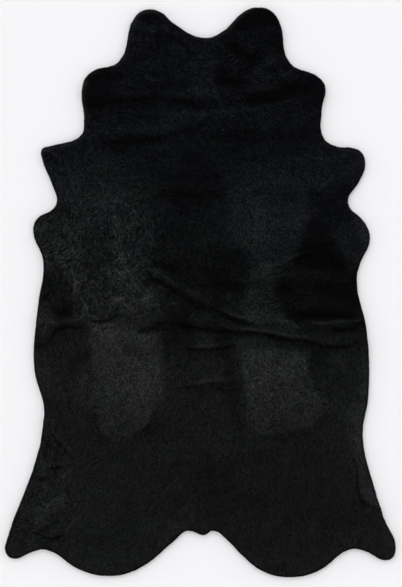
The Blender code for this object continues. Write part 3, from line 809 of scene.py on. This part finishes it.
rise_slope_y, rise_slope_x = np.gradient(cloth_rise, SURVEY_SPACING)
slope_x = at_roots(rise_slope_x)
slope_y = at_roots(rise_slope_y)
upright = np.column_stack([-slope_x, -slope_y, np.ones(lock_count)])
upright = upright / np.linalg.norm(upright, axis=1)[:, None]
lean = np.column_stack([lean_x, lean_y, slope_x * lean_x + slope_y * lean_y])
lean = lean / np.linalg.norm(lean, axis=1)[:, None]
sideways = np.cross(upright, lean)
roll = uneven(np.radians(LOCK_ROLL))
sideways = sideways * np.cos(roll)[:, None] + upright * np.sin(roll)[:, None]

# The shape of each lock. At the rim it is cut where it would stand out over the edge.
length = LOCK_LENGTH * (1 + 0.12 * wisp + uneven(0.08))
width = LOCK_WIDTH * (1 + uneven(0.18))
splay = 5 * tuft + 9 * wisp + uneven(5)
lower = np.radians(LOWER_LEAN + RIM_DROOP * rim_share + splay)
upper = np.radians(UPPER_LEAN + RIM_DROOP * rim_share + splay)
reach = 0.5 * length * (np.sin(lower) + np.sin(upper)) * np.maximum(lean_x * out_x + lean_y * out_y, 0)
room = rim_depth + RIM_OVERHANG + uneven(RIM_EVENNESS)
length = length * np.minimum(room / np.maximum(reach, 1e-6), 1)
base = np.column_stack([root_x, root_y, at_roots(cloth_rise) + BACKING_THICKNESS])
half = 0.5 * length[:, None]
middle = base + half * (upright * np.cos(lower)[:, None] + lean * np.sin(lower)[:, None])
tip = middle + half * (upright * np.cos(upper)[:, None] + lean * np.sin(upper)[:, None])
side_step = sideways * (0.5 * width)[:, None]
locks = np.stack([base, middle - side_step, middle + side_step, tip], axis=1)

# How light each corner of a lock is. The painted shade and highlights of the lines and the painted shade at
# the rim run across a lock.
place_x, place_y = locks[:, :, 0].ravel(), locks[:, :, 1].ravel()
shade_and_mottle = np.zeros(place_x.shape)
# Painted shade and highlights along each line, mostly by the folds.
for line_width, *points in SHADE_AND_SHEEN_LINES.values():
    line = soft_line(points, 4, (MILLIMETRES, MILLIMETRES, HUNDREDTHS))
    spread = LINE_SHADE_SPREAD * (line_width / MILLIMETRES)
    near = near_line(place_x, place_y, line, 3 * spread)
    away, side, change = nearest_on_line(place_x[near], place_y[near], line)
    shade_and_mottle[near] = shade_and_mottle[near] + LINE_SHADE_DEPTH * change * np.exp(-((away / spread) ** 2))
shade_and_mottle = 1 + np.repeat(mottle, 4) + shade_and_mottle
# Lightness along the rug, plus the painted sheen and shade of the brushed patches.
lightness = np.interp(root_y, *np.array(LENGTHWISE).T) + at_roots(painted_sheen_and_shade)
shade_and_mottle = np.repeat(np.maximum(lightness, LEAST_LIGHTNESS), 4) * np.maximum(shade_and_mottle, LEAST_SHARE)
# Painted shade along the rim, where the pile curves down over the edge.
rim_shade_share = np.clip(1 - survey_value(rim_distance, place_x, place_y) / RIM_SHADE_BAND, 0, 1)
tone = np.clip(shade_and_mottle * (1 - RIM_PAINTED_SHADE * rim_shade_share) / BRIGHTEST, *TONE_LIMITS).reshape(-1, 4)

# The cast of each lock: 0 is cool where dark and warm where light, the cool being a painted bluish sheen, 1
# is green and 2 is grey.
greenish = np.clip(0.5 - 1.2 * root_y - 0.35 * root_x + 0.5 * np.maximum(clump, 0), 0.03, 0.9)
greenish = np.maximum(greenish, 0.95 * at_roots(bellies))
greyish = np.clip((-0.48 - root_y) / 0.14, 0, 1) * np.clip(0.75 + 2.2 * root_x, 0.3, 1)
pick = chance.uniform(size=lock_count)
cast = np.where(pick < greyish, 2.0, np.where(chance.uniform(size=lock_count) < greenish, 1.0, 0.0))

fur = Finish(bpy.data.materials.new("black_faux_fur"))
fur_tone = fur.node("ShaderNodeAttribute", {"attribute_name": "tone"}, None, "Fac")
fur_along = fur.node("ShaderNodeAttribute", {"attribute_name": "along"}, None, "Fac")
fur_cast = fur.node("ShaderNodeAttribute", {"attribute_name": "cast"}, None, "Fac")
fur_cool_sheen_or_warm = fur.blend(COOL_SHEEN_CAST, WARM_CAST, fur_tone)
fur_green_or_grey = fur.blend(GREEN_CAST, GREY_CAST, fur_cast - 1)
fur_cast_colour = fur.blend(fur_cool_sheen_or_warm, fur_green_or_grey, fur_cast)
# The locks are painted darker at their roots than at their tips, as shade deep in the pile.
fur_lightness_and_root_shade = FUR_BRIGHTNESS * fur_tone**FUR_CONTRAST * (0.58 + 0.42 * fur_along)
fur_finish = fur.surface({
    "Base Color": fur.scaled(fur_cast_colour, fur_lightness_and_root_shade),
    "Roughness": 0.72 - 0.14 * fur_along,
    "Specular IOR Level": 0.03,
})

# A lock's four points are its root, its two sides at the bend, and its tip. The bake map lays it
# where its tone, its cast and its height put it.
LOCK_CORNERS = np.array([0, 2, 1, 1, 2, 3])
LOCK_ALONG = np.array([0.0, 0.55, 0.55, 1.0])
MAP_HALF_WIDTH = 0.003

for zone_name, (zone_start, zone_end) in PILE_ZONES.items():
    chosen = (root_y >= zone_start) & (root_y < zone_end)
    zone_locks = locks[chosen]
    zone_count = len(zone_locks)
    pile_mesh = bpy.data.meshes.new(zone_name)
    pile_mesh.vertices.add(zone_count * 4)
    pile_mesh.vertices.foreach_set("co", zone_locks.astype(np.float32).ravel())
    corners = (np.arange(zone_count)[:, None] * 4 + LOCK_CORNERS).ravel()
    pile_mesh.loops.add(len(corners))
    pile_mesh.loops.foreach_set("vertex_index", corners.astype(np.int32))
    pile_mesh.polygons.add(zone_count * 2)
    pile_mesh.polygons.foreach_set("loop_start", np.arange(0, len(corners), 3, dtype=np.int32))
    pile_mesh.update(calc_edges=True)
    pile_mesh.shade_smooth()
    point_values = {
        "tone": tone[chosen].ravel(),
        "along": np.tile(LOCK_ALONG, zone_count),
        "cast": np.repeat(cast[chosen], 4),
    }
    for value_name, values in point_values.items():
        stored = pile_mesh.attributes.new(value_name, "FLOAT", "POINT")
        stored.data.foreach_set("value", values.astype(np.float32))
    aside = np.tile([0, -MAP_HALF_WIDTH, MAP_HALF_WIDTH, 0], zone_count)
    map_u = 0.01 + 0.97 * point_values["tone"] + aside
    map_v = 0.02 + 0.33 * point_values["cast"] + 0.28 * point_values["along"]
    map_places = np.column_stack([map_u, map_v])[corners]
    bake_map = pile_mesh.uv_layers.new(name="OFBake")
    bake_map.data.foreach_set("uv", map_places.astype(np.float32).ravel())
    pile_mesh.materials.append(fur_finish)
    pile = put_down(zone_name, pile_mesh)
    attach(pile, "root")


# The studio: the rug lies on a plain pale floor, seen from straight above the middle of the
# picture, in even light with a broad low lamp beyond the neck.

PICTURE_HEIGHT = 587
METRES_PER_PIXEL = 2.0 / 570
LENS = 85
SENSOR = 36
PICTURE_CENTRE = (0.0027, -0.0042)
FLOOR_HALF = 60
FLOOR_GAP = 0.0004
ROOM_LIGHT = 0.545
LOW_WALL_LIGHT = 12
LOW_WALL_FALL = 0.004
SIDE_WALL_LIGHT = 1.2
LAMP_PLACE = (-0.25, 0.85, 0.50)
LAMP_BREADTH = 40
PILE_TOP = 0.009

floor_mesh = bpy.data.meshes.new("floor")
floor_corners = [(-1, -1), (1, -1), (1, 1), (-1, 1)]
floor_points = [(x * FLOOR_HALF, y * FLOOR_HALF, -FLOOR_GAP) for x, y in floor_corners]
floor_mesh.from_pydata(floor_points, [], [(0, 1, 2, 3)])
floor = put_down("floor", floor_mesh)
paper = Finish(bpy.data.materials.new("pale_floor"))
floor_mesh.materials.append(paper.surface({
    "Base Color": (0.85, 0.85, 0.866, 1.0),
    "Roughness": 0.9,
    "Specular IOR Level": 0.0,
}))

room = bpy.data.worlds.new("even_light")
room_light = Finish(room)
room_way = room_light.node("ShaderNodeTexCoord", None, None, "Generated")
room_height = room_light.node("ShaderNodeSeparateXYZ", None, {0: room_way}, "Z")
room_side = room_light.node("ShaderNodeSeparateXYZ", None, {0: room_way}, "X")
room_walls = LOW_WALL_LIGHT * LOW_WALL_FALL**room_height
room_walls = room_walls * (1 + SIDE_WALL_LIGHT * room_side * room_side)
room_strength = ROOM_LIGHT * (1 + room_walls)
room_glow = room_light.node("ShaderNodeBackground", None, {"Strength": room_strength})
room_light.node("ShaderNodeOutputWorld", None, {"Surface": room_glow})
scene.world = room

lamp_data = bpy.data.lights.new("broad_lamp", "SUN")
lamp_data.energy = 1.0
lamp_data.angle = math.radians(LAMP_BREADTH)
lamp = put_down("broad_lamp", lamp_data)
lamp.rotation_euler = Vector(LAMP_PLACE).to_track_quat("Z", "Y").to_euler()

camera_data = bpy.data.cameras.new("camera")
camera_data.lens = LENS
camera_data.sensor_width = SENSOR
camera = put_down("camera", camera_data)
camera_height = PICTURE_HEIGHT * METRES_PER_PIXEL * LENS / SENSOR
camera.location = (*PICTURE_CENTRE, camera_height + PILE_TOP)
scene.camera = camera
scene.view_settings.view_transform = "Standard"
